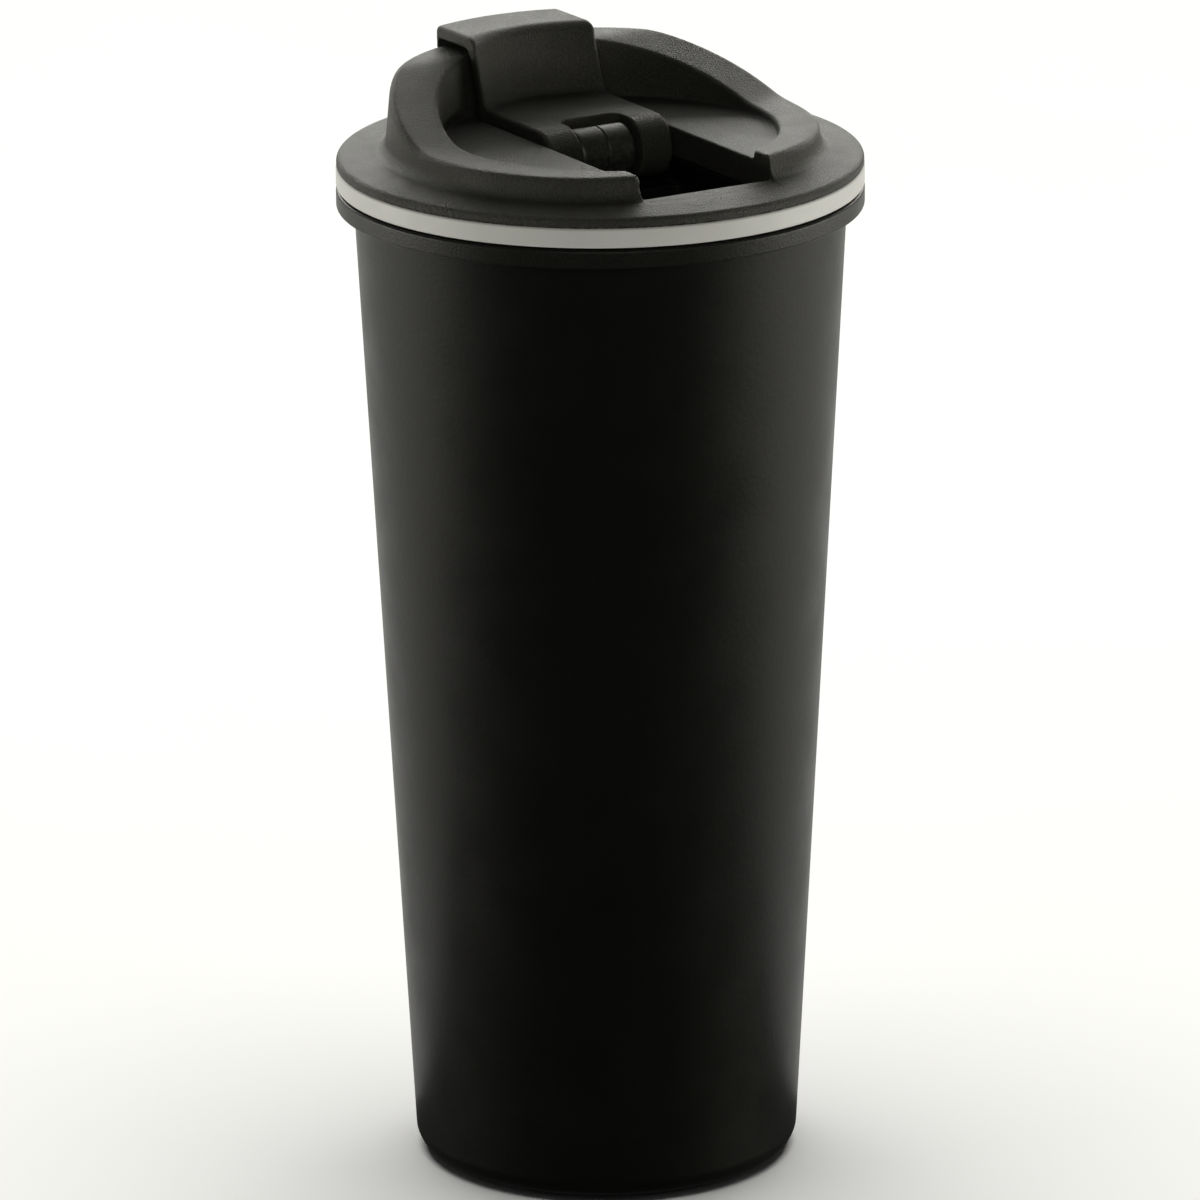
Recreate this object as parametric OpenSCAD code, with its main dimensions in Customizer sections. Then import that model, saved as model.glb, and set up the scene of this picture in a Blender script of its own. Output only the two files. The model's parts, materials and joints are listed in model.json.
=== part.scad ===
// Insulated travel mug with a press-in lid and a flip-over drinking lever.
// Millimetres, +Z up, origin at the centre of the foot.
// +X runs along the lever's hinge, +Y points at the drinking hole.

/* [Cup] */
// Outside radius of the steel body, measured down to the table
base_r = 31.5; // [31:0.1:32]
// Outside radius gained per millimetre of height
taper = 0.0533; // [0.052:0.0001:0.0545]
// Height of the underside of the rim collar
body_h = 161.8; // [160.5:0.1:162.2]
// Radius of the rounded bottom corner
corner_r = 5.5; // [4:0.1:7]
// Thickness of the outer steel wall
wall = 0.6; // [0.5:0.05:0.7]
// Thickness of the inner steel wall
liner_wall = 0.5; // [0.4:0.05:0.6]
// Inside radius of the straight mouth
mouth_r = 38; // [37.9:0.05:38.1]
// Inside radius of the liner just below the mouth
neck_r = 35.2; // [34:0.1:36]
// Height of the liner's inside floor
liner_floor = 9.6; // [8:0.1:14]
// Thickness of the grip pad under the base
pad_h = 0.5; // [0.5:0.05:0.6]

/* [Rim] */
// Outside radius of the collar, the silicone band and the lid
rim_r = 43; // [42.8:0.1:43.4]
// Height of the top face of the collar
collar_top = 164.95; // [164.8:0.05:165]
// Height of the underside of the silicone band
band_low = 165.25; // [165.25:0.05:165.4]

/* [Lid] */
// Height of the joint between the silicone band and the lid
lid_low = 168.53; // [168.4:0.01:168.6]
// Height of the rim's upper face at the foot of the crescent wall
deck_z = 171; // [170.9:0.05:171.1]
// Height of the dished floor inside the crescent
dish_z = 173.4; // [173:0.1:173.6]
// Height of the low front of the crescent
low_z = 174.8; // [174.6:0.1:175.2]
// Height of the drinking side of the crescent
high_z = 183; // [182:0.1:183]
// Outside radius of the crescent wall
crescent_r = 35; // [34.8:0.1:35.2]
// Radius of the dish
dish_r = 27.1; // [26.9:0.1:27.3]
// Distance the dish is set towards the front
dish_shift = 3.3; // [3.1:0.1:3.5]
// Half width of the lever's channel and pocket
slot_x = 12.1; // [12:0.05:12.3]
// Distance from the axis to the front wall of the pocket
pocket_front = 32.6; // [32.4:0.1:32.8]
// Height of the pocket floor
pocket_floor = 160; // [158:0.1:161]
// Height of the plug's inside floor
plug_floor = 154.2; // [153.8:0.1:154.4]
// Outside radius of the plug that enters the cup
plug_r = 37.2; // [37:0.1:37.3]

/* [Lever] */
// Half width of the lever
lever_x = 11.55; // [11.3:0.05:11.7]
// Thickness of the lever's plate
plate = 2.55; // [2.4:0.05:2.6]
// Distance of the hinge axis behind the mug's axis
hinge_y = 1; // [0.9:0.05:1.2]
// Height of the hinge axis
hinge_z = 170; // [169.9:0.05:170.1]
// Outside radius of the hinge knuckles
knuckle_r = 5.2; // [5.1:0.05:5.2]
// Outside radius of the fixed barrel between the knuckles
barrel_r = 4.2; // [4:0.05:4.4]
// Half width of the notch between the knuckles
notch_x = 5.65; // [5.5:0.05:5.8]
// Distance of the notch's back edge behind the mug's axis
notch_y = 4.4; // [4.2:0.1:4.8]
// Radius of the steel hinge pin
pin_r = 1.5; // [1.3:0.05:1.6]
// Height of the top of the finger cap
cap_z = 186.2; // [186.2:0.1:186.6]
// Outside radius of the finger cap about the mug's axis
cap_r = 35; // [34.9:0.05:35.1]
// Thickness of the finger cap
cap_t = 2.2; // [2:0.1:2.4]

/* [Hidden] */
$fn = 96;
e = 0.01;
shell_z = pad_h;
shell_top = 162.6;
mouth_z = 151.5;
shoulder_z = 148.5;
rim_base = shell_top + liner_wall;
lid_wall = 1.8;
floor_z = 171.9;
shelf_z = hinge_z - knuckle_r - 0.6;
bay_back = 15;
plug_low = plug_floor - lid_wall;
groove_r = plug_r - 0.8;
hole_in = 27;
hole_out = 31.4;
hole_x = 6.5;
vent_y = 18;
vent_r = 2;
screw_x = 5.6;
screw_y = 10.6;
screw_r = 1.1;
riser_lean = 0.321;
riser_r = 20.5;
riser_t = 2.2;
arm_top = hinge_z + knuckle_r;
arm_low = arm_top - plate;
cap_low = cap_z - cap_t;
lip_low = high_z - 0.1;
lip_r = cap_r - 0.7;
cap_edge = 1.4;
shell_color = [0.04, 0.04, 0.038];
steel_color = [0.62, 0.62, 0.61];
black_color = [0.06, 0.06, 0.06];
grey_color = [0.6, 0.6, 0.58];

// Outside radius of the steel body at height z.
function body_r(z) = base_r + taper * z;

// Height where a thing on the sloping top of the crescent lies at distance y.
function slope_z(y) = 175 + (y - 1) * (high_z - 0.8 - 175) / 21;

// ---- shared profiles, drawn as radius and height ----

// Ring section with rounded corners.
module round_section(x0, x1, z0, z1, r) {
    translate([x0 + r, z0]) square([x1 - x0 - 2 * r, z1 - z0]);
    translate([x0, z0 + r]) square([x1 - x0, z1 - z0 - 2 * r]);
    for (x = [x0 + r, x1 - r])
        for (z = [z0 + r, z1 - r])
            translate([x, z]) circle(r);
}

// Tapered vessel section with a rounded bottom corner.
// r0 is the wall's radius at height 0, z0 the floor and z1 the top.
module vessel_section(r0, z0, z1, r) {
    k = sqrt(1 + taper * taper);
    cz = z0 + r;
    cx = r0 + taper * cz - r * k;
    polygon([
        [0, z0], [cx, z0], [cx + r / k, cz - r * taper / k],
        [r0 + taper * z1, z1], [0, z1]
    ]);
    translate([cx, cz]) circle(r);
}

// Disc lying on height z.
module disc(r, z, h) {
    translate([0, 0, z]) cylinder(r = r, h = h);
}

// Box given by its two corners.
module span(x0, x1, y0, y1, z0, z1) {
    translate([x0, y0, z0]) cube([x1 - x0, y1 - y0, z1 - z0]);
}

// Cylinder along X, centred on the hinge axis.
module hinge_rod(r, half) {
    translate([-half, hinge_y, hinge_z]) rotate([0, 90, 0]) cylinder(r = r, h = 2 * half);
}

// Curved slot about the mug's axis at the drinking side.
module arc_slot(r0, r1, half, z0, z1) {
    intersection() {
        difference() {
            disc(r1, z0, z1 - z0);
            disc(r0, z0 - 1, z1 - z0 + 2);
        }
        span(-half, half, 0, r1 + 1, z0 - 1, z1 + 1);
    }
}

// ---- cup ----

module outer_shell() {
    color(shell_color) rotate_extrude() difference() {
        vessel_section(base_r, shell_z, shell_top, corner_r);
        vessel_section(base_r - wall, shell_z + wall, shell_top + e, corner_r - wall);
        translate([0, -1]) square([24.5, 5]);
    }
}

// Inside wall line of the liner below the mouth, with a chosen extra radius.
module liner_bore(extra, top) {
    vessel_section(neck_r - taper * shoulder_z + extra, liner_floor - extra, top, 10 + extra);
}

module inner_liner() {
    color(steel_color) rotate_extrude() difference() {
        union() {
            liner_bore(liner_wall, shoulder_z);
            polygon([
                [0, shoulder_z - e], [neck_r + liner_wall, shoulder_z - e],
                [mouth_r + liner_wall, mouth_z], [mouth_r + liner_wall, shell_top],
                [body_r(shell_top), shell_top], [body_r(shell_top), rim_base], [0, rim_base]
            ]);
        }
        liner_bore(0, shoulder_z);
        polygon([
            [-e, shoulder_z - 2 * e], [neck_r, shoulder_z - 2 * e],
            [mouth_r, mouth_z], [mouth_r, rim_base + 1], [-e, rim_base + 1]
        ]);
    }
}

module reflector_wrap() {
    low = liner_floor + 12;
    high = shoulder_z - 6;
    line = neck_r - taper * shoulder_z + liner_wall;
    color([0.72, 0.42, 0.28]) rotate_extrude() polygon([
        [line + taper * low, low], [line + taper * low + 0.2, low],
        [line + taper * high + 0.2, high], [line + taper * high, high]
    ]);
}

module base_plate() {
    low = shell_z + wall;
    color(steel_color) difference() {
        union() {
            disc(26.2, low, wall);
            disc(5.6, low, 3);
        }
        disc(5, low - 1, 3.4);
        disc(1.2, low, 4);
    }
}

module seal_bead() {
    top = shell_z + wall + 3;
    color([0.5, 0.5, 0.52]) union() {
        disc(1.2, top - wall, wall);
        disc(3, top - wall - 0.8, 0.8);
    }
}

module getter() {
    low = shell_z + 2 * wall;
    color([0.4, 0.4, 0.42]) translate([14, 0, 0]) union() {
        disc(4, low, 1.7);
        translate([0, 0, low + 1.7]) cylinder(r1 = 4, r2 = 3.7, h = 0.3);
    }
}

module base_cap() {
    color(steel_color) disc(24.4, shell_z, wall);
}

module foot_pad() {
    color([0.09, 0.09, 0.09]) difference() {
        disc(23.4, 0, pad_h);
        for (r = [8, 13, 18])
            translate([0, 0, -e]) difference() {
                cylinder(r = r + 0.6, h = 0.25);
                cylinder(r = r - 0.6, h = 0.25);
            }
    }
}

module collar() {
    color(black_color) rotate_extrude() difference() {
        union() {
            round_section(mouth_r, rim_r, rim_base, collar_top, 0.4);
            round_section(body_r(body_h) - 3, rim_r, body_h, collar_top, 0.4);
        }
        polygon([
            [0, 0], [body_r(0) + 0.03, 0],
            [body_r(rim_base) + 0.03, rim_base], [0, rim_base]
        ]);
        translate([0, rim_base - e]) square([mouth_r, 5]);
    }
}

// ---- lid ----

// Revolved outline of the lid's upper shell before the top is shaped.
module lid_envelope() {
    rotate_extrude() {
        polygon([
            [0, lid_low], [rim_r - 0.1, lid_low], [rim_r - 0.1, lid_low + 0.9],
            [rim_r - 0.8, lid_low + 1.6], [crescent_r + 2.5, deck_z], [0, deck_z]
        ]);
        translate([rim_r - 0.8, lid_low + 0.9]) circle(0.7);
        difference() {
            polygon([
                [0, deck_z - e], [crescent_r + 2.5, deck_z - e], [crescent_r + 2.5, deck_z],
                [crescent_r, deck_z + 2.5], [crescent_r - 0.6, high_z - 0.8],
                [crescent_r - 1.2, high_z], [0, high_z]
            ]);
            translate([crescent_r + 2.5, deck_z + 2.5]) circle(2.5);
        }
    }
}

// Side view of the crescent's falling top, lowered by drop and cut across X.
module below_top(drop) {
    rotate([90, 0, 90]) linear_extrude(height = 100, center = true) polygon([
        [-50, 140], [50, 140], [50, high_z - drop], [24, high_z - drop],
        [22, slope_z(22) - drop], [1, slope_z(1) - drop], [-1, low_z - drop],
        [-50, low_z - drop]
    ]);
}

// Leaning inner wall of the crescent from height z up, widened by extra.
module dish_cut(z, extra) {
    translate([0, -dish_shift, z])
        cylinder(r1 = dish_r + extra, r2 = dish_r + extra + 1.8, h = 12);
}

// Room for the riser between the dish and the drinking hole.
module riser_recess() {
    intersection() {
        translate([0, 0, floor_z])
            cylinder(r1 = riser_r + riser_t + 0.7 - riser_lean * (arm_top - floor_z),
                r2 = riser_r + riser_t + 0.7 + riser_lean * (13 - arm_top + floor_z), h = 13);
        span(-slot_x, slot_x, 0, 40, floor_z, 190);
    }
}

// Hollow on the underside of the upper shell.
module lid_hollow() {
    difference() {
        intersection() {
            disc(crescent_r - lid_wall, lid_low - 1, 20);
            below_top(lid_wall);
        }
        dish_cut(dish_z - lid_wall, lid_wall);
        span(-slot_x - 1.5, slot_x + 1.5, -40, 28.5, 160, 190);
        arc_slot(hole_in - 1.4, hole_out + 1.4, hole_x + 1.4, 160, 190);
    }
}

module lid_shell() {
    color(black_color) difference() {
        intersection() {
            lid_envelope();
            below_top(0);
        }
        lid_hollow();
        dish_cut(dish_z, 0);
        riser_recess();
        // channel over the deck, the pocket mouth and the hinge bay
        span(-slot_x, slot_x, -50, bay_back, deck_z, 190);
        span(-slot_x, slot_x, -pocket_front, bay_back, 160, 190);
        intersection() {
            span(-slot_x, slot_x, bay_back - 1, 26, floor_z, 190);
            dish_cut(floor_z, 0);
        }
        // room under the channel floor, then the vent and the drinking hole
        difference() {
            span(-slot_x, slot_x, bay_back + 1.5, hole_in - 1.4, 160, floor_z - 1.6);
            translate([0, vent_y, 160]) cylinder(r = vent_r + 1.4, h = 20);
        }
        translate([0, vent_y, 160]) cylinder(r = vent_r, h = 20);
        arc_slot(hole_in, hole_out, hole_x, 160, 190);
    }
}

module lid_plug() {
    inner = plug_r - 1.6;
    color([0.05, 0.05, 0.05]) difference() {
        union() {
            difference() {
                disc(plug_r, plug_low, lid_low - plug_low);
                disc(inner, plug_floor, 20);
            }
            intersection() {
                disc(plug_r - 0.5, plug_low, lid_low - plug_low);
                difference() {
                    span(-slot_x - 1.5, slot_x + 1.5, -40, bay_back + 1.5, plug_low, lid_low);
                    span(-slot_x, slot_x, -31, -6.5, plug_floor, pocket_floor - lid_wall);
                    span(-slot_x, slot_x, -3.5, bay_back, plug_floor, shelf_z - lid_wall);
                }
            }
            for (x = [-screw_x, screw_x])
                translate([x, screw_y, plug_floor - e]) cylinder(r = 2.8, h = 9);
            arc_slot(hole_in - 1.4, hole_out + 1.4, hole_x + 1.4, plug_low, lid_low);
            translate([0, vent_y, plug_low]) cylinder(r = vent_r + 1.4, h = lid_low - plug_low);
        }
        // pocket, hinge bay and the seat of the seal
        span(-slot_x, slot_x, -pocket_front, -5, pocket_floor, 190);
        span(-slot_x, slot_x, -6, bay_back, shelf_z, 190);
        for (x = [-screw_x, screw_x])
            translate([x, screw_y, shelf_z - 6.2]) cylinder(r = screw_r, h = 20);
        arc_slot(hole_in, hole_out, hole_x, 140, 190);
        translate([0, vent_y, 140]) cylinder(r = vent_r, h = 50);
        difference() {
            disc(plug_r + 1, 159, 20);
            disc(groove_r, 158, 22);
        }
    }
}

module seal_ring() {
    color(grey_color) rotate_extrude() {
        translate([groove_r, band_low]) square([rim_r - 1 - groove_r, lid_low - band_low]);
        round_section(rim_r - 3, rim_r, band_low, lid_low, 0.5);
        translate([groove_r, 159]) square([plug_r - groove_r, band_low - 159]);
        for (z = [159.4, 162.2])
            round_section(groove_r, mouth_r - 0.3, z, z + 0.9, 0.3);
    }
}

module spout_sleeve() {
    color(grey_color) difference() {
        arc_slot(hole_in, hole_out, hole_x, plug_low, plug_low + 6);
        arc_slot(hole_in + 0.5, hole_out - 0.5, hole_x - 0.5, 140, 190);
    }
}

module hinge_post() {
    color([0.03, 0.03, 0.03]) difference() {
        union() {
            hinge_rod(barrel_r, notch_x - 0.4);
            span(-3.8, 3.8, hinge_y - 3.4, hinge_y + 3.6, shelf_z, hinge_z);
            span(-8.6, 8.6, 6.8, 14.5, shelf_z, shelf_z + 2);
            span(-3.8, 3.8, hinge_y, 7, shelf_z, shelf_z + 2);
        }
        hinge_rod(pin_r, 20);
        for (x = [-screw_x, screw_x])
            translate([x, screw_y, 160]) cylinder(r = screw_r + 0.1, h = 12);
    }
}

module hinge_pin() {
    color(steel_color) hinge_rod(pin_r, lever_x - 0.5);
}

// Pan-head screw through the post's foot.
module hinge_screw(x) {
    translate([x, screw_y, 0]) difference() {
        union() {
            disc(screw_r, shelf_z - 6.2, 8.4);
            translate([0, 0, shelf_z + 2]) cylinder(r1 = 2.1, r2 = 1.7, h = 1.3);
        }
        span(-1.3, 1.3, -0.25, 0.25, shelf_z + 2.6, 180);
        span(-0.25, 0.25, -1.3, 1.3, shelf_z + 2.6, 180);
    }
}

module hinge_screw_left() {
    color(steel_color) hinge_screw(-screw_x);
}

module hinge_screw_right() {
    color(steel_color) hinge_screw(screw_x);
}

// ---- lever ----

// Riser and finger cap, revolved about the mug's axis.
module lever_bend() {
    top = cap_z - 1;
    rotate_extrude() {
        polygon([
            [riser_r - riser_lean * plate, arm_low],
            [riser_r + riser_t - riser_lean * plate, arm_low],
            [riser_r + riser_t + riser_lean * (cap_low - arm_top), cap_low],
            [lip_r, cap_low], [lip_r, lip_low], [cap_r, lip_low], [cap_r, cap_z - cap_edge],
            [cap_r - cap_edge, cap_z], [riser_r + 1 + riser_lean * (top - arm_top), cap_z],
            [riser_r + riser_lean * (top - arm_top), top]
        ]);
        translate([cap_r - cap_edge, cap_z - cap_edge]) intersection() {
            circle(cap_edge);
            square(cap_edge);
        }
    }
}

module flip_lever() {
    color(black_color) difference() {
        union() {
            hinge_rod(knuckle_r, lever_x);
            span(-lever_x, lever_x, hinge_y, riser_r - 3, arm_low, arm_top);
            intersection() {
                span(-lever_x, lever_x, riser_r - 3.4, riser_r + 4, arm_low, arm_top);
                disc(riser_r + 1, arm_low, plate);
            }
            intersection() {
                lever_bend();
                span(-lever_x, lever_x, 10, 40, 160, 200);
            }
        }
        // notch that the post's barrel stands in
        translate([0, 0, 160]) linear_extrude(height = 20)
            round_section(-notch_x, notch_x, -20, notch_y, 2);
        span(-notch_x, notch_x, -20, hinge_y + knuckle_r + 1, 160, arm_low);
        hinge_rod(barrel_r + 0.4, notch_x);
        hinge_rod(pin_r + 0.06, lever_x + 1);
        arc_slot(26.2, 31.6, 7.6, cap_low - 1, cap_low + 1);
        translate([0, vent_y, arm_low - 1]) cylinder(r = 2.6, h = 2);
    }
}

module spout_stopper() {
    color(grey_color) union() {
        arc_slot(26.2, 31.6, 7.6, high_z + 0.3, cap_low + 1);
        arc_slot(hole_in + 0.9, hole_out - 0.4, hole_x - 0.5, high_z - 1, high_z + 0.4);
    }
}

module vent_plug() {
    color(grey_color) translate([0, vent_y, 0]) union() {
        disc(2.6, arm_low - 0.4, 1.4);
        disc(1.5, floor_z - 0.7, arm_low - floor_z + 0.7);
    }
}

outer_shell();
inner_liner();
reflector_wrap();
base_plate();
getter();
seal_bead();
base_cap();
foot_pad();
collar();
lid_shell();
lid_plug();
seal_ring();
spout_sleeve();
hinge_post();
hinge_pin();
hinge_screw_left();
hinge_screw_right();
flip_lever();
spout_stopper();
vent_plug();
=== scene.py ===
"""Insulated travel mug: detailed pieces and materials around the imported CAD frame.

Shapes are worked out in millimetres and stored in metres. Turned pieces are revolved from
profiles with rounded corners. The lid, plug, lever, post and stoppers are skinned from distance
fields, so that every moulded edge and corner carries a real radius.
"""
import json
import math

import bpy
import numpy as np
from mathutils import Matrix, Vector

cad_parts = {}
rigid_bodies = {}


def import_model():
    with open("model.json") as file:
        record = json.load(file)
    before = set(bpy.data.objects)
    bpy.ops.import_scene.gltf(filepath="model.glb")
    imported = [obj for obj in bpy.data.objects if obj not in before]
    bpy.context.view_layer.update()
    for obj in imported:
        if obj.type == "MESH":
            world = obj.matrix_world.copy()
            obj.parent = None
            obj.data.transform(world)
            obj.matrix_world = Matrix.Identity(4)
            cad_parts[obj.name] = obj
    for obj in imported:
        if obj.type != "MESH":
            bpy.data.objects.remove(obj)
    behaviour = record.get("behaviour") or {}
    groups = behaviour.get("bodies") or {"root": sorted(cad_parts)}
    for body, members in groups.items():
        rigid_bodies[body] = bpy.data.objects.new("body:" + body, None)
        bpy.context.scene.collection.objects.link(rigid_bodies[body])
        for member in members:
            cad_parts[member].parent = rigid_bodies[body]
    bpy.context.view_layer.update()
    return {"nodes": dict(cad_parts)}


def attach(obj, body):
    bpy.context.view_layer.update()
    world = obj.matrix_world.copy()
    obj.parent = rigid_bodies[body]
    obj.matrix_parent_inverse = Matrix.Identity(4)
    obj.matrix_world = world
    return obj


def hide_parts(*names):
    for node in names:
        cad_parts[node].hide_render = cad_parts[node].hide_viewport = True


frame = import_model()

MM = 0.001

# ---- sizes shared with the CAD frame, mm ----
BASE_R, TAPER = 31.5, 0.0533
BODY_TOP = 162.6
RIM_R = 43.0
COLLAR_LOW, COLLAR_TOP = 161.8, 164.95
BAND_LOW, LID_LOW = 165.25, 168.53
DECK = 171.0
DISH, DISH_R, DISH_SHIFT = 173.4, 27.1, 3.3
CRESCENT_R = 35.0
LOW_Z, HIGH_Z = 174.8, 183.0
SLOT_X, POCKET_FRONT, POCKET_FLOOR = 12.1, 32.6, 160.0
BAY_FLOOR, BAY_BACK, CHANNEL_FLOOR = 164.2, 15.0, 171.9
PLUG_R, PLUG_LOW, GROOVE_R = 37.2, 152.4, 36.4
HOLE_IN, HOLE_OUT, HOLE_X = 27.0, 31.4, 6.5
VENT_Y, VENT_R = 18.0, 2.0
LEVER_X, PLATE = 11.55, 2.55
HINGE_Y, HINGE_Z, KNUCKLE_R, BARREL_R = 1.0, 170.0, 5.2, 4.2
NOTCH_X, NOTCH_Y, PIN_R = 5.65, 4.4, 1.5
RISER_R, RISER_LEAN, RISER_T = 20.5, 0.321, 2.1
ARM_TOP = HINGE_Z + KNUCKLE_R
ARM_LOW = ARM_TOP - PLATE
CAP_Z, CAP_LOW, CAP_R = 186.2, 184.0, 35.0
MOUTH_R, SHELL_T = 38.0, 0.6

# ---- surfaces finer than the CAD's, in mm, and mm per mm of lean, rise or fall ----
DECK_FLAT_R, DECK_FALL = 37.5, 0.167
DISH_LEAN, WALL_LEAN = 0.15, 0.095
SLOPE_LIFT, SLOPE_RISE = 0.6, 0.343
SWELL, SWELL_DEEP, SWELL_WIDE = 0.95, 20.0, 12.0
CROWN_DROP, CROWN_FALL, CROWN_R = 0.02, 0.0012, 25.5
LIP_R, LIP_LOW = 34.5, 182.15
RISER_GAP, BARREL_GAP, PIN_GAP = 0.75, 0.4, 0.06
STEM_X, SEAM_DEEP, SEAM_X = 3.8, 0.18, 0.16


# ---------------------------------------------------------------- distance fields

def both(a, b, r=0.0):
    """Where two solids overlap, with the outside corner rounded to radius r."""
    if r <= 0:
        return np.maximum(a, b)
    u, v = np.maximum(a + r, 0), np.maximum(b + r, 0)
    return np.minimum(-r, np.maximum(a, b)) + np.hypot(u, v)


def either(a, b, r=0.0):
    """Two solids joined, with a fillet of radius r in the corner between them."""
    return -both(-a, -b, r)


def minus(a, b, r=0.0):
    """Solid a with b cut out, and the edge of the cut rounded to radius r."""
    return both(a, -b, r)


def slab(v, low, high):
    """The space where v lies between low and high."""
    return np.maximum(low - v, v - high)


def ease(v):
    """Smooth step from 0 to 1."""
    v = np.clip(v, 0, 1)
    return v * v * (3 - 2 * v)


def arc_slot(x, y, z, inner, outer, half, r=1.0):
    """Curved slot about the mug's axis, on the +Y side."""
    rad = np.hypot(x, y)
    ring = slab(rad, inner, outer)
    return both(both(ring, np.abs(x) - half, r), -y)


def crest_height(y):
    """Height of the crescent's top: low in front, one long slope, level over the spout."""
    ramp = LOW_Z + SLOPE_LIFT + SLOPE_RISE * (y - HINGE_Y)
    level = 0.5 * (ramp + HIGH_Z - np.sqrt((ramp - HIGH_Z) ** 2 + 0.3))
    return 0.5 * (level + LOW_Z + np.sqrt((level - LOW_Z) ** 2 + 0.9))


def lid_field(x, y, z):
    """Lid shell: flange, crescent wall, dish, channel, pocket mouth, drinking hole and vent."""
    r = np.hypot(x, y)
    dish_r = np.hypot(x, y + DISH_SHIFT)
    lean = DISH_R + DISH_LEAN * (z - DISH)
    in_dish = (dish_r - lean) / math.hypot(1, DISH_LEAN)
    # flange
    deck = z - DECK + DECK_FALL * np.maximum(r - DECK_FLAT_R, 0)
    deck = deck / math.hypot(1, DECK_FALL)
    flange = both(r - (RIM_R - 0.1), deck, 0.75)
    # crescent wall with its falling top, swollen beside the front corners
    top = (z - crest_height(y)) / 1.03
    swell = ease((2.0 - y) / SWELL_DEEP) * ease((np.abs(x) - SLOT_X) / SWELL_WIDE)
    wall_out = CRESCENT_R + SWELL * swell - WALL_LEAN * (z - DECK)
    wall = both(r - wall_out, top, 1.1)
    wall = minus(wall, both(in_dish, DISH - z, 0.45), 0.55)
    lid = either(flange, wall, 1.8)
    # channel, pocket mouth and hinge bay
    side = np.abs(x) - SLOT_X
    over_deck = both(both(side, y - BAY_BACK), DECK - z, 0.3)
    mouth = both(side, slab(y, -POCKET_FRONT, BAY_BACK), 0.6)
    back = both(both(side, in_dish, 0.4), CHANNEL_FLOOR - z, 0.4)
    back = both(back, BAY_BACK - 1 - y)
    riser = r - (RISER_R + RISER_T + RISER_GAP + RISER_LEAN * (z - ARM_TOP))
    riser = riser / math.hypot(1, RISER_LEAN)
    riser = both(both(both(side, riser, 0.5), CHANNEL_FLOOR - z, 0.5), -y)
    cut = np.minimum(np.minimum(over_deck, mouth), np.minimum(back, riser))
    lid = minus(lid, cut, 0.35)
    lid = minus(lid, arc_slot(x, y, z, HOLE_IN, HOLE_OUT, HOLE_X), 0.5)
    lid = minus(lid, np.hypot(x, y - VENT_Y) - VENT_R, 0.3)
    return both(lid, LID_LOW - z, 0.12)


def plug_field(x, y, z):
    """Lid plug: round body with the seal's groove, the pocket and the hinge bay."""
    r = np.hypot(x, y)
    body = both(r - PLUG_R, slab(z, PLUG_LOW, LID_LOW), 1.0)
    body = minus(body, both(GROOVE_R - r, 159.0 - z), 0.1)
    side = np.abs(x) - SLOT_X
    pocket = both(both(side, slab(y, -POCKET_FRONT, -5.0), 1.2), POCKET_FLOOR - z, 1.2)
    bay = both(both(side, slab(y, -7.0, BAY_BACK), 0.8), BAY_FLOOR - z, 0.8)
    body = minus(body, np.minimum(pocket, bay), 0.08)
    body = minus(body, arc_slot(x, y, z, HOLE_IN, HOLE_OUT, HOLE_X), 0.4)
    return minus(body, np.hypot(x, y - VENT_Y) - VENT_R, 0.3)


def lever_field(x, y, z):
    """Flip lever: arm, leaning riser, finger cap with its lip, and notched knuckles."""
    r = np.hypot(x, y)
    q = (r - (RISER_R + RISER_LEAN * (z - ARM_TOP))) / math.hypot(1, RISER_LEAN)
    axis = np.hypot(y - HINGE_Y, z - HINGE_Z)
    arm = both(both(slab(z, ARM_LOW, ARM_TOP), q - RISER_T, 1.1), HINGE_Y - y)
    riser = both(slab(q, 0, RISER_T), slab(z, ARM_LOW, CAP_Z - 0.6), 1.0)
    crown = CAP_Z - CROWN_DROP - CROWN_FALL * np.maximum(r - CROWN_R, 0) ** 2
    under = both(either(CAP_LOW - z, LIP_R - r, 0.9), LIP_LOW - z)
    cap = both(both(z - crown, r - CAP_R, 1.0), both(under, r - CAP_R, 0.25))
    cap = both(cap, -q, 1.6)
    bend = either(either(arm, both(riser, -y), 1.0), both(cap, -y), 0.8)
    lever = np.minimum(bend, axis - KNUCKLE_R)
    lever = both(lever, np.abs(x) - LEVER_X, 0.7)
    inside = np.abs(x) - NOTCH_X
    notch = np.minimum(both(inside, y - NOTCH_Y, 2.0), both(inside, z - ARM_LOW))
    notch = np.minimum(both(notch, y - 7.2), both(inside, axis - BARREL_R - BARREL_GAP))
    lever = minus(lever, notch, 0.35)
    return minus(lever, axis - PIN_R - PIN_GAP, 0.15)


def post_field(x, y, z):
    """Hinge post: barrel with a parting line, stem, and a foot with two screw holes."""
    axis = np.hypot(y - HINGE_Y, z - HINGE_Z)
    barrel = both(axis - BARREL_R, np.abs(x) - NOTCH_X + BARREL_GAP, 0.9)
    seam = both(BARREL_R - SEAM_DEEP - axis, np.abs(x) - SEAM_X)
    stem = both(np.abs(x) - STEM_X, slab(y, HINGE_Y - 3.4, HINGE_Y + 3.6), 0.5)
    stem = both(stem, slab(z, BAY_FLOOR, HINGE_Z))
    foot = both(np.abs(x) - 8.6, slab(y, 6.8, 14.5), 1.2)
    neck = both(np.abs(x) - STEM_X, slab(y, HINGE_Y, 8.0))
    foot = both(np.minimum(foot, neck), slab(z, BAY_FLOOR, BAY_FLOOR + 2.0), 0.4)
    post = either(minus(barrel, seam, 0.1), either(stem, foot, 0.8), 0.4)
    holes = np.hypot(np.abs(x) - 5.6, y - 10.6) - 1.2
    return minus(minus(post, axis - PIN_R, 0.1), holes, 0.2)


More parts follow.
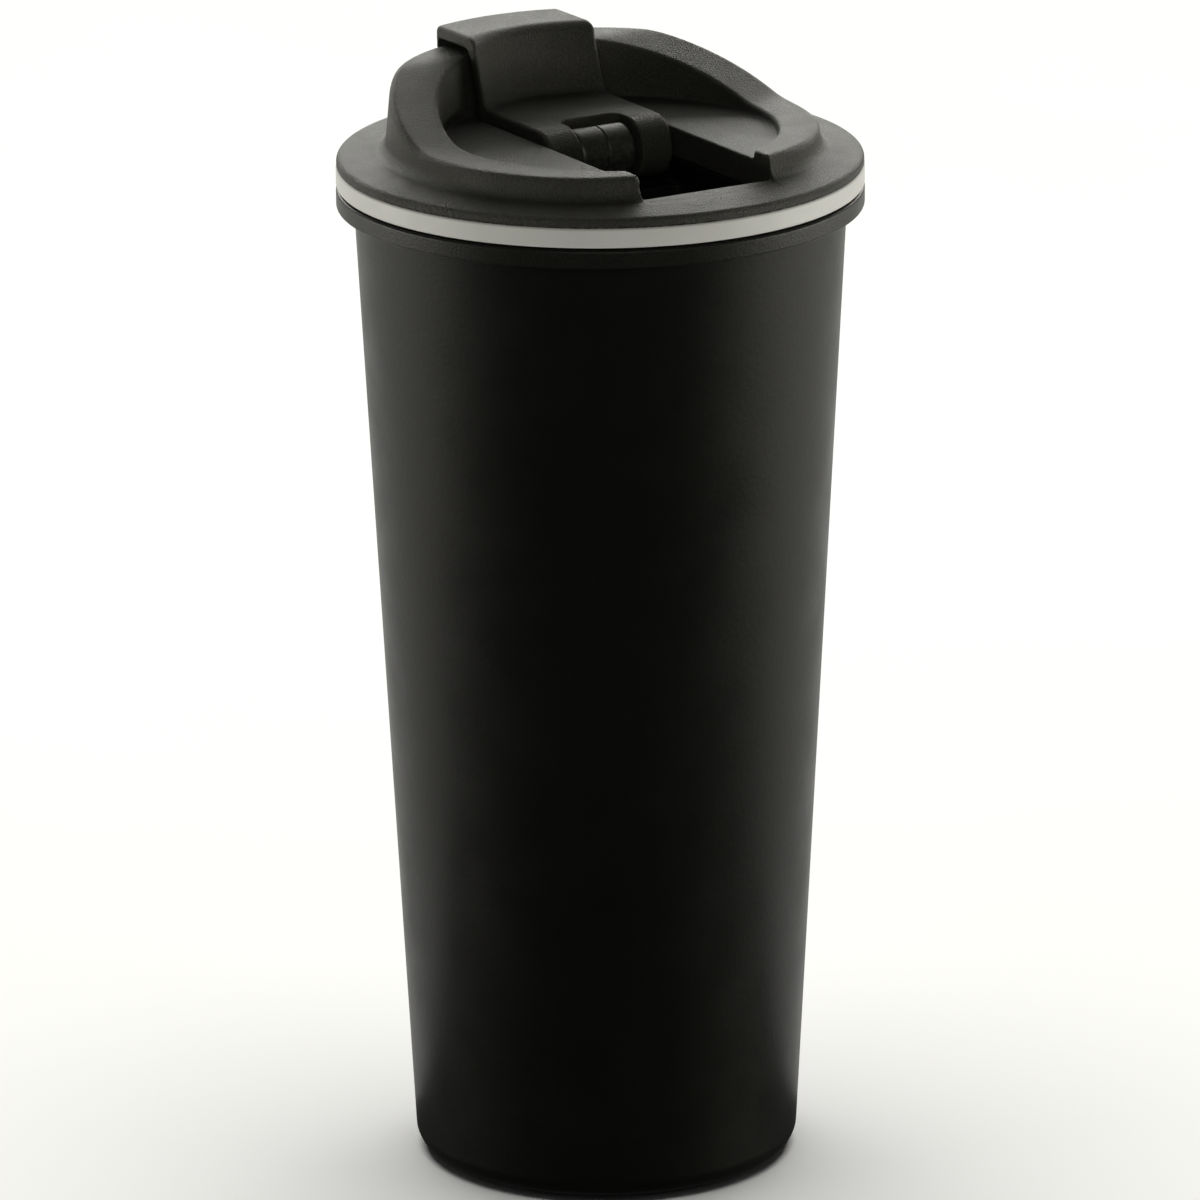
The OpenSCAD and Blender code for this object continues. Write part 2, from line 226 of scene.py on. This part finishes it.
def stopper_field(x, y, z):
    """Spout stopper: a rim under the finger cap and a nose that enters the drinking hole."""
    rim = arc_slot(x, y, z, 26.2, 31.6, 7.6, 1.6)
    rim = both(rim, slab(z, HIGH_Z + 0.3, CAP_LOW + 0.1), 0.1)
    nose = arc_slot(x, y, z, HOLE_IN + 0.9, HOLE_OUT - 0.4, HOLE_X - 0.5, 1.4)
    nose = both(nose, slab(z, HIGH_Z - 1.0, HIGH_Z + 1.0), 0.6)
    return either(rim, nose, 0.25)


def vent_field(x, y, z):
    """Vent plug: a flat head under the arm and a short pin."""
    r = np.hypot(x, y - VENT_Y)
    head = both(r - 2.6, slab(z, ARM_LOW - 0.4, ARM_LOW + 0.1), 0.15)
    pin = both(r - 1.5, slab(z, CHANNEL_FLOOR - 0.7, ARM_LOW), 0.6)
    return either(head, pin, 0.3)


# ---------------------------------------------------------------- mesh makers

def new_object(name, verts, faces, normals):
    """Smooth mesh object from millimetre arrays, with the given vertex normals."""
    mesh = bpy.data.meshes.new(name)
    mesh.from_pydata((np.asarray(verts) * MM).tolist(), [], np.asarray(faces).tolist())
    mesh.validate()
    mesh.shade_smooth()
    mesh.normals_split_custom_set_from_vertices(np.asarray(normals).tolist())
    obj = bpy.data.objects.new(name, mesh)
    bpy.context.scene.collection.objects.link(obj)
    return obj


def gradient(field, p, eps=0.01):
    """Slope of the field at each point, by differences over 2 eps."""
    g = np.empty_like(p)
    for k in range(3):
        d = np.zeros(3)
        d[k] = eps
        g[:, k] = field(*(p + d).T) - field(*(p - d).T)
    return g / (2 * eps)


SNAPS = 4  # times that each vertex of a skin is moved onto the surface


def skin(name, field, low, high, step):
    """Mesh of the surface where field is zero, one vertex in each grid cell it crosses."""
    low = np.array(low, float) - 1.5 * step
    axes = [np.arange(a, b + 2.5 * step, step) for a, b in zip(low, high)]
    f = field(*np.meshgrid(*axes, indexing="ij"))
    n = np.array(f.shape)
    total = np.zeros(list(n - 1) + [3])
    count = np.zeros(n - 1, int)
    crossings = []
    for k in range(3):
        a = f[tuple(slice(0, -1) if i == k else slice(None) for i in range(3))]
        b = f[tuple(slice(1, None) if i == k else slice(None) for i in range(3))]
        hit = (a < 0) != (b < 0)
        t = np.where(hit, a / np.where(hit, a - b, 1), 0)
        grid = np.stack(np.meshgrid(*[np.arange(m) for m in hit.shape], indexing="ij"), -1)
        spot = grid * hit[..., None].astype(float)
        spot[..., k] += t
        crossings.append((hit, a < 0))
        others = [i for i in range(3) if i != k]
        for di in (0, 1):
            for dj in (0, 1):
                pick = [slice(None)] * 3
                pick[others[0]] = slice(di, n[others[0]] - 1 + di)
                pick[others[1]] = slice(dj, n[others[1]] - 1 + dj)
                total += spot[tuple(pick)]
                count += hit[tuple(pick)]
    used = count > 0
    index = np.full(used.shape, -1)
    index[used] = np.arange(used.sum())
    verts = low + step * total[used] / count[used][:, None]
    faces = []
    for k, (hit, negative) in enumerate(crossings):
        i, j = (k + 1) % 3, (k + 2) % 3
        at = np.argwhere(hit)
        back = np.zeros((4, 3), int)
        back[1, i] = back[2, i] = back[2, j] = back[3, j] = 1
        quad = np.stack([index[tuple((at - back[c]).T)] for c in range(4)], 1)
        flip = ~negative[tuple(at.T)]
        quad[flip] = quad[flip][:, ::-1]
        faces.append(quad)
    for _ in range(SNAPS):
        g = gradient(field, verts)
        size = np.maximum((g * g).sum(1), 0.2)
        move = -(field(*verts.T) / size)[:, None] * g
        verts = verts + np.clip(move, -0.6 * step, 0.6 * step)
    g = gradient(field, verts)
    normals = g / np.maximum(np.linalg.norm(g, axis=1), 1e-9)[:, None]
    return new_object(name, verts, np.concatenate(faces), normals)


def rounded(points, radii, steps=7):
    """Closed profile of (radius, height) points with each corner rounded."""
    pts = [np.array(p, float) for p in points]
    out = []
    for i, p in enumerate(pts):
        r = radii[i] if hasattr(radii, "__len__") else radii
        a, b = pts[i - 1] - p, pts[(i + 1) % len(pts)] - p
        la, lb = np.linalg.norm(a), np.linalg.norm(b)
        a, b = a / la, b / lb
        half = 0.5 * math.acos(max(-1, min(1, float(a @ b))))
        cut = min(r / math.tan(half), 0.49 * la, 0.49 * lb) if r > 0 else 0
        if cut <= 1e-6:
            out.append(p)
            continue
        r = cut * math.tan(half)
        centre = p + (a + b) / np.linalg.norm(a + b) * (r / math.sin(half))
        start, end = p + a * cut - centre, p + b * cut - centre
        turn = math.atan2(start[0] * end[1] - start[1] * end[0], float(start @ end))
        for s in range(steps + 1):
            w = turn * s / steps
            c, n = math.cos(w), math.sin(w)
            spoke = [start[0] * c - start[1] * n, start[0] * n + start[1] * c]
            out.append(centre + np.array(spoke))
    return np.array(out)


def lathe(name, profile, around=192):
    """Revolves a closed profile about Z, with normals weighted by segment length."""
    p = np.asarray(profile, float)
    area = 0.5 * np.sum(p[:, 0] * np.roll(p[:, 1], -1) - np.roll(p[:, 0], -1) * p[:, 1])
    if area < 0:
        p = p[::-1]
    keep = np.linalg.norm(p - np.roll(p, 1, 0), axis=1) > 1e-6
    p = p[keep]
    seg = np.roll(p, -1, 0) - p
    out = np.stack([seg[:, 1], -seg[:, 0]], 1)
    n = out + np.roll(out, 1, 0)
    n /= np.linalg.norm(n, axis=1)[:, None]
    w = 2 * math.pi * np.arange(around) / around
    ring = np.stack([np.cos(w), np.sin(w)], 1)
    verts = np.concatenate([
        np.column_stack([p[:, 0] * c, p[:, 0] * s, p[:, 1]]) for c, s in ring])
    normals = np.concatenate([
        np.column_stack([n[:, 0] * c, n[:, 0] * s, n[:, 1]]) for c, s in ring])
    m = len(p)
    i = np.arange(around)[:, None] * m
    j = (np.arange(around)[:, None] + 1) % around * m
    k = np.arange(m)[None, :]
    k2 = (np.arange(m)[None, :] + 1) % m
    faces = np.stack([i + k, j + k, j + k2, i + k2], -1).reshape(-1, 4)
    return new_object(name, verts, faces, normals)


# ---------------------------------------------------------------- materials

class Nodes:
    """Short hand for building one material's node tree."""

    def __init__(self, name):
        self.mat = bpy.data.materials.new(name)
        self.mat.use_nodes = True
        self.tree = self.mat.node_tree
        self.shader = self.tree.nodes["Principled BSDF"]
        self.coords = self.add("ShaderNodeTexCoord").outputs["Object"]

    def add(self, kind, **settings):
        node = self.tree.nodes.new(kind)
        for key, value in settings.items():
            setattr(node, key, value)
        return node

    def link(self, a, b):
        self.tree.links.new(a, b)

    def noise(self, scale, detail=3.0, rough=0.55):
        """Noise factor at scale cycles per metre."""
        node = self.add("ShaderNodeTexNoise")
        node.inputs["Scale"].default_value = scale
        node.inputs["Detail"].default_value = detail
        node.inputs["Roughness"].default_value = rough
        self.link(self.coords, node.inputs["Vector"])
        return node.outputs["Fac"]

    def turned(self, across, along):
        """Coordinates wound round the Z axis, for brushing left by turning."""
        split = self.add("ShaderNodeSeparateXYZ")
        self.link(self.coords, split.inputs["Vector"])
        angle = self.add("ShaderNodeMath", operation="ARCTAN2")
        self.link(split.outputs["Y"], angle.inputs[0])
        self.link(split.outputs["X"], angle.inputs[1])
        wide = self.add("ShaderNodeMath", operation="MULTIPLY")
        wide.inputs[1].default_value = across
        self.link(angle.outputs[0], wide.inputs[0])
        radius = self.add("ShaderNodeVectorMath", operation="LENGTH")
        flat = self.add("ShaderNodeCombineXYZ")
        self.link(split.outputs["X"], flat.inputs["X"])
        self.link(split.outputs["Y"], flat.inputs["Y"])
        self.link(flat.outputs[0], radius.inputs[0])
        out = self.add("ShaderNodeCombineXYZ")
        self.link(wide.outputs[0], out.inputs["X"])
        for source, socket in ((radius.outputs["Value"], "Y"), (split.outputs["Z"], "Z")):
            scaled = self.add("ShaderNodeMath", operation="MULTIPLY")
            scaled.inputs[1].default_value = along
            self.link(source, scaled.inputs[0])
            self.link(scaled.outputs[0], out.inputs[socket])
        return out.outputs[0]

    def spread(self, fac, low, high, from_low=0.3, from_high=0.7):
        """Maps a factor onto the range low..high."""
        node = self.add("ShaderNodeMapRange")
        node.inputs["From Min"].default_value = from_low
        node.inputs["From Max"].default_value = from_high
        node.inputs["To Min"].default_value = low
        node.inputs["To Max"].default_value = high
        self.link(fac, node.inputs["Value"])
        return node.outputs["Result"]

    def tint(self, fac, dark, light):
        """Colour between dark and light by a factor."""
        node = self.add("ShaderNodeMix", data_type="RGBA")
        node.inputs["A"].default_value = (*dark, 1)
        node.inputs["B"].default_value = (*light, 1)
        self.link(fac, node.inputs["Factor"])
        return node.outputs["Result"]

    def worn(self, colour, light, amount, start=0.53, end=0.62):
        """Lightens outside edges, where a moulding or coat rubs."""
        edge = self.add("ShaderNodeNewGeometry").outputs["Pointiness"]
        fac = self.spread(edge, 0.0, amount, start, end)
        node = self.add("ShaderNodeMix", data_type="RGBA")
        self.link(fac, node.inputs["Factor"])
        self.link(colour, node.inputs["A"])
        node.inputs["B"].default_value = (*light, 1)
        return node.outputs["Result"]

    def bump(self, *layers):
        """Stacks (height factor, strength, distance in metres) bumps on the shader."""
        normal = None
        for fac, strength, distance in layers:
            node = self.add("ShaderNodeBump")
            node.inputs["Strength"].default_value = strength
            node.inputs["Distance"].default_value = distance
            self.link(fac, node.inputs["Height"])
            if normal:
                self.link(normal, node.inputs["Normal"])
            normal = node.outputs["Normal"]
        self.link(normal, self.shader.inputs["Normal"])

    def finish(self, colour, roughness, **values):
        """Joins colour and roughness and sets uniform shader values."""
        self.link(colour, self.shader.inputs["Base Color"])
        self.link(roughness, self.shader.inputs["Roughness"])
        for key, value in values.items():
            self.shader.inputs[key.replace("_", " ")].default_value = value
        return self.mat


WARM = (1.0, 0.985, 0.92, 1.0)  # tint of the gloss on the dark plastic and the coat


def shade(colour, factor):
    """The colour made darker or lighter by a factor."""
    return tuple(c * factor for c in colour)


def moulded(name, colour, rough, grain, depth, spec=0.5, wear=0.12, edge=(0.16, 0.16, 0.155)):
    """Moulded plastic with a spark-eroded grain of grain cycles per metre."""
    n = Nodes(name)
    patch = n.noise(55, 4)
    base = n.tint(n.spread(patch, 0, 1), shade(colour, 0.85), shade(colour, 1.15))
    fine = n.noise(grain, 3, rough=0.6)
    speck = n.add("ShaderNodeMix", data_type="RGBA", blend_type="MULTIPLY")
    speck.inputs["Factor"].default_value = 1.0
    n.link(base, speck.inputs["A"])
    n.link(n.tint(n.spread(fine, 0, 1), (0.45, 0.45, 0.45), (1.7, 1.7, 1.7)), speck.inputs["B"])
    pits = n.add("ShaderNodeTexVoronoi")
    pits.inputs["Scale"].default_value = grain * 0.8
    n.link(n.coords, pits.inputs["Vector"])
    rubbed = n.noise(210, 5)
    n.bump((pits.outputs["Distance"], depth * 0.4, 0.0002), (fine, depth, 0.0004))
    return n.finish(n.worn(speck.outputs["Result"], edge, wear),
                    n.spread(rubbed, rough - 0.02, rough + 0.03),
                    Specular_IOR_Level=spec, Specular_Tint=WARM)


def powder_coat(name, colour, rough):
    """Fine powder coat: small soft orange-peel over a dense speckle."""
    n = Nodes(name)
    cloud = n.noise(24, 4)
    base = n.tint(n.spread(cloud, 0, 1), shade(colour, 0.85), shade(colour, 1.15))
    peel = n.noise(1100, 2, rough=0.4)
    speck = n.noise(3600, 2)
    hazy = n.noise(90, 5)
    n.bump((peel, 0.22, 0.0001), (speck, 0.18, 0.00005))
    return n.finish(n.worn(base, (0.12, 0.12, 0.11), 0.06),
                    n.spread(hazy, rough - 0.03, rough + 0.05),
                    Specular_IOR_Level=0.14, Specular_Tint=WARM)


def silicone(name, colour, rough=0.6):
    """Soft matte silicone with dust-fine mottling."""
    n = Nodes(name)
    cloud = n.noise(70, 5)
    base = n.tint(n.spread(cloud, 0, 1), shade(colour, 0.95), shade(colour, 1.04))
    fine = n.noise(2600, 3)
    lint = n.noise(420, 6, rough=0.7)
    n.bump((fine, 0.14, 0.00006), (lint, 0.06, 0.0001))
    return n.finish(base, n.spread(lint, rough - 0.06, rough + 0.08), Specular_IOR_Level=0.4,
                    Sheen_Weight=0.08, Sheen_Roughness=0.5, Subsurface_Weight=0.04,
                    Subsurface_Scale=0.002)


def steel(name, colour, rough, turned=True):
    """Stainless steel, brushed round the axis or plain-ground."""
    n = Nodes(name)
    streak = n.add("ShaderNodeTexNoise")
    streak.inputs["Scale"].default_value = 1.0
    streak.inputs["Detail"].default_value = 4
    if turned:
        n.link(n.turned(3.0, 5200.0), streak.inputs["Vector"])
    else:
        mapping = n.add("ShaderNodeMapping")
        mapping.inputs["Scale"].default_value = (300, 5200, 5200)
        n.link(n.coords, mapping.inputs["Vector"])
        n.link(mapping.outputs["Vector"], streak.inputs["Vector"])
    lines = streak.outputs["Fac"]
    stain = n.noise(60, 5)
    base = n.tint(n.spread(stain, 0, 1), shade(colour, 0.92), shade(colour, 1.05))
    n.bump((lines, 0.16, 0.00003))
    return n.finish(base, n.spread(lines, rough - 0.06, rough + 0.1), Metallic=1.0)


def polished(name, colour):
    """Glossy moulding with faint handling haze."""
    n = Nodes(name)
    cloud = n.noise(300, 5)
    base = n.tint(n.spread(cloud, 0, 1), shade(colour, 0.9), shade(colour, 1.1))
    ripple = n.noise(160, 2)
    n.bump((ripple, 0.05, 0.0001))
    return n.finish(base, n.spread(cloud, 0.1, 0.2), Specular_IOR_Level=0.55)


def foil(name, colour):
    """Crinkled copper foil wrapped round the liner."""
    n = Nodes(name)
    crease = n.add("ShaderNodeTexVoronoi", feature="DISTANCE_TO_EDGE")
    crease.inputs["Scale"].default_value = 120
    n.link(n.coords, crease.inputs["Vector"])
    tarnish = n.noise(45, 6)
    base = n.tint(n.spread(tarnish, 0, 1), shade(colour, 0.8), shade(colour, 1.1))
    n.bump((crease.outputs["Distance"], 0.5, 0.0004))
    return n.finish(base, n.spread(tarnish, 0.18, 0.34), Metallic=1.0)


coat = powder_coat("coat", (0.0022, 0.0022, 0.0015), 0.40)
rim_black = moulded("rim_black", (0.0040, 0.0040, 0.0030), 0.42, 2600, 0.12, spec=0.15, wear=0.03)
lid_black = moulded("lid_black", (0.0190, 0.0188, 0.0150), 0.50, 3600, 0.85, spec=0.19, wear=0.05)
plug_black = moulded("plug_black", (0.003, 0.003, 0.003), 0.46, 1500, 0.15, spec=0.12, wear=0.02)
post_black = moulded("post_black", (0.018, 0.018, 0.015), 0.40, 1500, 0.06, spec=0.4, wear=0.02)
pale_silicone = silicone("pale_silicone", (0.352, 0.349, 0.326))
grip_rubber = silicone("grip_rubber", (0.018, 0.018, 0.018), 0.7)
liner_steel = steel("liner_steel", (0.60, 0.59, 0.57), 0.28)
base_steel = steel("base_steel", (0.55, 0.54, 0.53), 0.33)
pin_steel = steel("pin_steel", (0.58, 0.57, 0.56), 0.22, turned=False)
copper = foil("copper", (0.72, 0.36, 0.22))
glass_solder = polished("glass_solder", (0.22, 0.23, 0.26))
sintered = moulded("sintered", (0.16, 0.16, 0.17), 0.7, 1500, 0.5, edge=(0.3, 0.3, 0.3))


def dress(obj, mat):
    """Makes mat the object's only material."""
    obj.data.materials.clear()
    obj.data.materials.append(mat)


# ---------------------------------------------------------------- pieces

def wall_r(z, inset=0.0):
    """Radius of the tapered outer wall at height z, less an inset."""
    return BASE_R + TAPER * z - inset


def place(piece, body, node, mat):
    """Gives a piece its material and its body, and hides the CAD node it stands for."""
    dress(piece, mat)
    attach(piece, body)
    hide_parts(node)


place(lathe("cup_wall", rounded([
    (24.5, 0.5), (wall_r(0.5), 0.5), (wall_r(BODY_TOP), BODY_TOP),
    (wall_r(BODY_TOP, SHELL_T), BODY_TOP), (wall_r(1.1, SHELL_T), 1.1), (24.5, 1.1)
], [0.2, 5.5, 0.1, 0.1, 4.9, 0.2], 12), 256), "cup", "outer_shell", coat)

place(lathe("cup_liner", rounded([
    (0.02, 9.6), (wall_r(9.6, 3.94), 9.6), (35.2, 148.5), (MOUTH_R, 151.5),
    (MOUTH_R, 163.1), (wall_r(BODY_TOP), 163.1), (wall_r(BODY_TOP), BODY_TOP),
    (MOUTH_R + 0.5, BODY_TOP), (MOUTH_R + 0.5, 151.5), (35.7, 148.5),
    (wall_r(9.1, 3.44), 9.1), (0.02, 9.1)
], [0, 9, 2.5, 2.5, 0.45, 0.2, 0.1, 0.3, 2.5, 2.5, 9.5, 0], 8), 192),
    "cup", "inner_liner", liner_steel)

place(lathe("rim_collar", rounded([
    (wall_r(COLLAR_LOW) + 0.05, COLLAR_LOW), (RIM_R, COLLAR_LOW), (RIM_R, COLLAR_TOP),
    (MOUTH_R, COLLAR_TOP), (MOUTH_R, 163.11), (wall_r(163.1) + 0.05, 163.11)
], [0.25, 0.45, 0.5, 0.6, 0.1, 0.1]), 256), "cup", "collar", rim_black)

place(lathe("seal_band", rounded([
    (GROOVE_R, 159.0), (PLUG_R, 159.0), (PLUG_R, 159.4), (MOUTH_R - 0.3, 159.5),
    (MOUTH_R - 0.3, 160.2), (PLUG_R, 160.6), (PLUG_R, 162.2), (MOUTH_R - 0.3, 162.3),
    (MOUTH_R - 0.3, 163.0), (PLUG_R, 163.4), (PLUG_R, BAND_LOW), (RIM_R, BAND_LOW),
    (RIM_R, LID_LOW), (GROOVE_R, LID_LOW)
], [0, 0.2, 0.1, 0.25, 0.25, 0.2, 0.2, 0.25, 0.25, 0.2, 0.4, 0.55, 0.45, 0]), 256),
    "lid", "seal_ring", pale_silicone)

grip = [(0.02, 0.0)]
for groove in (8, 13, 18):
    grip += [(groove + side, deep)
             for side, deep in ((-0.6, 0.0), (-0.5, 0.25), (0.5, 0.25), (0.6, 0.0))]
grip += [(23.4, 0.0), (23.4, 0.5), (0.02, 0.5)]
place(lathe("grip_pad", rounded(grip, [0] + [0.08] * 12 + [0.2, 0.05, 0], 4), 192),
      "cup", "foot_pad", grip_rubber)

place(skin("lid_top", lid_field, (-42.9, -42.9, LID_LOW), (42.9, 42.9, HIGH_Z), 0.45),
      "lid", "lid_shell", lid_black)
place(skin("lid_body", plug_field, (-PLUG_R, -PLUG_R, PLUG_LOW), (PLUG_R, PLUG_R, LID_LOW), 0.5),
      "lid", "lid_plug", plug_black)
place(skin("lever", lever_field, (-LEVER_X, -4.2, 164.8), (LEVER_X, CAP_R, CAP_Z), 0.3),
      "lever", "flip_lever", lid_black)
place(skin("hinge_block", post_field, (-8.6, -3.4, BAY_FLOOR), (8.6, 14.5, 174.2), 0.2),
      "lid", "hinge_post", post_black)
place(skin("stopper", stopper_field, (-7.6, 25, 182), (7.6, 31.6, 184.65), 0.22),
      "lever", "spout_stopper", pale_silicone)
place(skin("vent_seal", vent_field, (-2.6, 15.4, 171.2), (2.6, 20.6, 172.8), 0.16),
      "lever", "vent_plug", pale_silicone)

for node, mat in {
    "reflector_wrap": copper, "base_plate": base_steel, "getter": sintered,
    "seal_bead": glass_solder, "base_cap": base_steel, "spout_sleeve": pale_silicone,
    "hinge_pin": pin_steel, "hinge_screw_left": pin_steel, "hinge_screw_right": pin_steel,
}.items():
    dress(frame["nodes"][node], mat)


# ---------------------------------------------------------------- stage, light, camera

def soft_light(name, place_at, aim, size, power, lit, colour):
    """Softbox at place_at pointing at aim, in metres and watts, that falls only on lit."""
    data = bpy.data.lights.new(name, "AREA")
    data.shape = "RECTANGLE"
    data.size, data.size_y = size
    data.energy = power
    data.color = colour
    obj = bpy.data.objects.new(name, data)
    bpy.context.scene.collection.objects.link(obj)
    obj.location = place_at
    obj.rotation_euler = (Vector(aim) - Vector(place_at)).to_track_quat("-Z", "Y").to_euler()
    obj.light_linking.receiver_collection = lit


STAGE_HALF, STAGE_CELLS = 6.0, 24
SPLIT_AT, SPLIT_FALL, SPLIT_SOFT = 0.02, 0.5, 0.5
LENS, SENSOR = 304.17, 36
CAMERA_SHIFT, CAMERA_HEIGHT, CAMERA_DISTANCE = -0.000512, 0.094109, 1.668995
LAMP, FLOOR_LAMP = (1.0, 0.99, 0.94), (1.0, 0.995, 0.955)
AIM, AMBIENT = (0, 0, 0.12), 0.04
VIEW_AZ, VIEW_EL, VIEW_ROLL = math.radians(-31), math.radians(16.88), math.radians(-0.381)
VIEW_BACK = Vector((math.sin(VIEW_AZ) * math.cos(VIEW_EL),
                    -math.cos(VIEW_AZ) * math.cos(VIEW_EL), math.sin(VIEW_EL)))
VIEW_RIGHT = Vector((math.cos(VIEW_AZ), math.sin(VIEW_AZ), 0))
VIEW_UP = VIEW_BACK.cross(VIEW_RIGHT)


def seen_from(right, away, up):
    """A place given from the viewer's side: right, away from the viewer and up, in metres."""
    away_dir = Vector((-math.sin(VIEW_AZ), math.cos(VIEW_AZ), 0))
    return VIEW_RIGHT * right + away_dir * away + Vector((0, 0, up))


def split(right):
    """Where the floor's two sheets meet: a shallow curve, nearest the viewer at the sides."""
    return SPLIT_AT - SPLIT_FALL * right * right / (abs(right) + SPLIT_SOFT)


def stage_floor(name, near, far):
    """Pale paper sheet between two edges, each a function of the distance to the right."""
    row = STAGE_CELLS + 1
    verts, faces = [], []
    for i in range(row):
        right = STAGE_HALF * (2 * i / STAGE_CELLS - 1) ** 3
        low, high = near(right), far(right)
        for j in range(row):
            verts.append(seen_from(right, low + (high - low) * j / STAGE_CELLS, 0))
    for i in range(STAGE_CELLS):
        for j in range(STAGE_CELLS):
            a = i * row + j
            faces.append((a, a + row, a + row + 1, a + 1))
    mesh = bpy.data.meshes.new(name)
    mesh.from_pydata(verts, [], faces)
    obj = bpy.data.objects.new(name, mesh)
    bpy.context.scene.collection.objects.link(obj)
    dress(obj, paper)
    return obj


def make_camera():
    """Camera at the product view's place, rolled by VIEW_ROLL about its own axis."""
    c, s = math.cos(VIEW_ROLL), math.sin(VIEW_ROLL)
    right = VIEW_RIGHT * c + VIEW_UP * s
    up = VIEW_UP * c - VIEW_RIGHT * s
    aim = VIEW_RIGHT * CAMERA_SHIFT + Vector((0, 0, CAMERA_HEIGHT))
    place_at = aim + VIEW_BACK * CAMERA_DISTANCE
    data = bpy.data.cameras.new("camera")
    data.sensor_width = SENSOR
    data.lens = LENS
    data.clip_start, data.clip_end = 0.05, 50
    obj = bpy.data.objects.new("camera", data)
    turn = Matrix((right, up, VIEW_BACK)).transposed()
    obj.matrix_world = Matrix.Translation(place_at) @ turn.to_4x4()
    bpy.context.scene.collection.objects.link(obj)
    bpy.context.scene.camera = obj


sheet = Nodes("paper")
cloud = sheet.spread(sheet.noise(3, 3), 0, 1)
paper = sheet.finish(sheet.tint(cloud, (0.80, 0.80, 0.80), (0.83, 0.83, 0.83)),
                     sheet.spread(sheet.noise(40, 3), 0.85, 0.95), Specular_IOR_Level=0.1)
mug_set = bpy.data.collections.new("mug")
for obj in bpy.context.scene.objects:
    if obj.type == "MESH":
        mug_set.objects.link(obj)
floor_set = bpy.data.collections.new("paper")
floor_set.objects.link(stage_floor("floor_back", split, lambda right: STAGE_HALF))
near_floor = stage_floor("floor_front", lambda right: -STAGE_HALF, split)
near_floor.visible_glossy = False
floor_set.objects.link(near_floor)

soft_light("floor_box", seen_from(0, 0.5, 1.9), (0, 0, 0), (2.2, 2.2), 66, floor_set, FLOOR_LAMP)
for name, place_at, size, power in (
        ("left_box", seen_from(-1.0, 0.05, 0.14), (1.0, 0.2), 9),
        ("right_box", seen_from(1.0, 0.05, 0.14), (1.0, 0.2), 10.5),
        ("back_box", seen_from(0, 1.6, 0.62), (2.4, 0.6), 31),
        ("top_box", seen_from(0, 1.1, 1.25), (2.0, 0.8), 7.2),
        ("front_box", seen_from(0.2, -1.9, 0.95), (2.0, 0.9), 12.8)):
    soft_light(name, place_at, AIM, size, power, mug_set, LAMP)
world = bpy.data.worlds.new("studio")
world.use_nodes = True
background = world.node_tree.nodes["Background"]
background.inputs["Color"].default_value = (1, 1, 1, 1)
background.inputs["Strength"].default_value = AMBIENT
bpy.context.scene.world = world
bpy.context.scene.view_settings.view_transform = "Standard"
make_camera()
